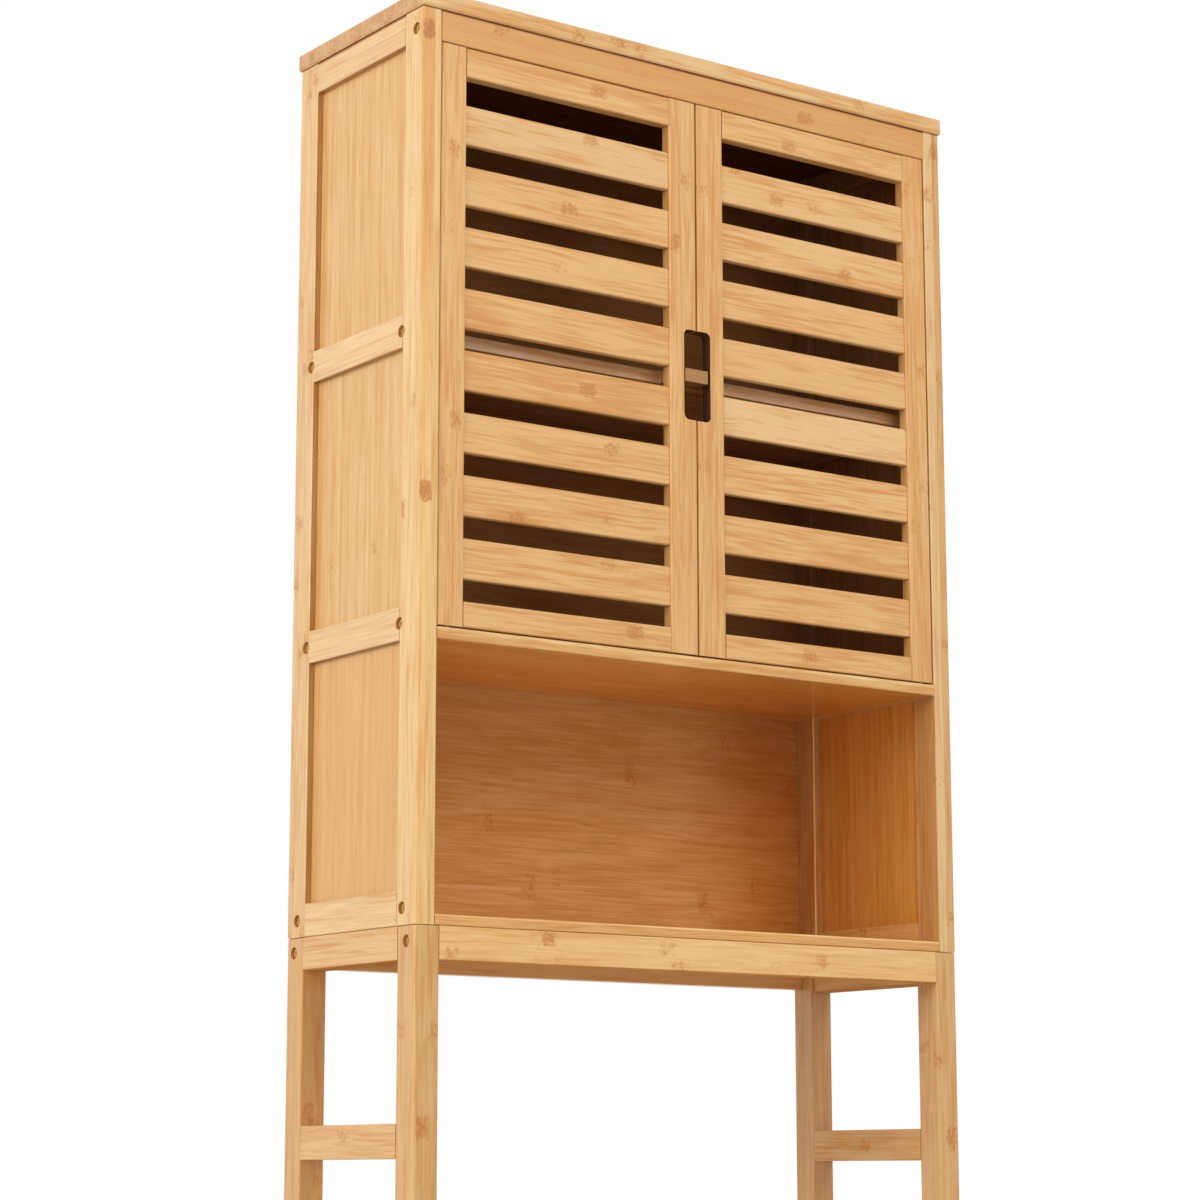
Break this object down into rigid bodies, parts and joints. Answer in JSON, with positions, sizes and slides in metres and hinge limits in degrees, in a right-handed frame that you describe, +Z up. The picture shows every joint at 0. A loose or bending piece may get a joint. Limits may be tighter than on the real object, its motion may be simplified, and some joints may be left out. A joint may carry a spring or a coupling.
{
  "type": "over-the-toilet cabinet",
  "caption": "Tall narrow bamboo cabinet on four legs that stands over a toilet: louvred double doors over an open cubby on a ladder-framed base.",
  "frame": {"origin": "on the floor, under the middle of the cabinet's footprint", "axes": "+X to the right as one faces the doors, +Y to the wall behind, +Z up; the doors open towards -Y"},
  "size_m": [0.625, 0.221, 1.645],
  "materials": {
    "bamboo_frame": "clear satin lacquer",
    "bamboo_door": "clear satin lacquer",
    "bamboo_slat": "clear satin lacquer",
    "bamboo_panel": "clear satin lacquer",
    "bamboo_board": "clear satin lacquer",
    "bamboo_top": "clear satin lacquer",
    "bamboo_base": "clear satin lacquer",
    "pivot_steel": "zinc plated"
  },
  "bodies": {
    "cabinet": {"top_board": "bamboo_top", "front_top_rail": "bamboo_frame", "back_panel": "bamboo_panel", "middle_shelf": "bamboo_board", "cabinet_floor": "bamboo_board", "bottom_shelf": "bamboo_board", "base_front_rail": "bamboo_base", "base_rear_rail": "bamboo_base", "left_front_stile": "bamboo_frame", "left_front_leg": "bamboo_base", "left_rear_stile": "bamboo_frame", "left_rear_leg": "bamboo_base", "left_bottom_rail": "bamboo_frame", "left_lower_rail": "bamboo_frame", "left_upper_rail": "bamboo_frame", "left_top_rail": "bamboo_frame", "left_lower_panel": "bamboo_panel", "left_middle_panel": "bamboo_panel", "left_upper_panel": "bamboo_panel", "base_left_rail": "bamboo_base", "left_stretcher": "bamboo_base", "left_pivot_pin": "pivot_steel", "right_front_stile": "bamboo_frame", "right_front_leg": "bamboo_base", "right_rear_stile": "bamboo_frame", "right_rear_leg": "bamboo_base", "right_bottom_rail": "bamboo_frame", "right_lower_rail": "bamboo_frame", "right_upper_rail": "bamboo_frame", "right_top_rail": "bamboo_frame", "right_lower_panel": "bamboo_panel", "right_middle_panel": "bamboo_panel", "right_upper_panel": "bamboo_panel", "base_right_rail": "bamboo_base", "right_stretcher": "bamboo_base", "right_pivot_pin": "pivot_steel"},
    "left_door": {"left_door_hinge_stile": "bamboo_door", "left_door_meeting_stile": "bamboo_door", "left_door_top_rail": "bamboo_door", "left_door_bottom_rail": "bamboo_door", "left_door_slat_1": "bamboo_slat", "left_door_slat_2": "bamboo_slat", "left_door_slat_3": "bamboo_slat", "left_door_slat_4": "bamboo_slat", "left_door_slat_5": "bamboo_slat", "left_door_slat_6": "bamboo_slat", "left_door_slat_7": "bamboo_slat", "left_door_slat_8": "bamboo_slat"},
    "right_door": {"right_door_hinge_stile": "bamboo_door", "right_door_meeting_stile": "bamboo_door", "right_door_top_rail": "bamboo_door", "right_door_bottom_rail": "bamboo_door", "right_door_slat_1": "bamboo_slat", "right_door_slat_2": "bamboo_slat", "right_door_slat_3": "bamboo_slat", "right_door_slat_4": "bamboo_slat", "right_door_slat_5": "bamboo_slat", "right_door_slat_6": "bamboo_slat", "right_door_slat_7": "bamboo_slat", "right_door_slat_8": "bamboo_slat"}
  },
  "joints": [
    {"name": "left_door_hinge", "type": "hinge", "parent": "cabinet", "child": "left_door", "pos_m": [-0.2765, -0.102, 1.33], "axis": [0, 0, -1], "range_deg": [0, 110]},
    {"name": "right_door_hinge", "type": "hinge", "parent": "cabinet", "child": "right_door", "pos_m": [0.2765, -0.102, 1.33], "axis": [0, 0, 1], "range_deg": [0, 110]}
  ]
}
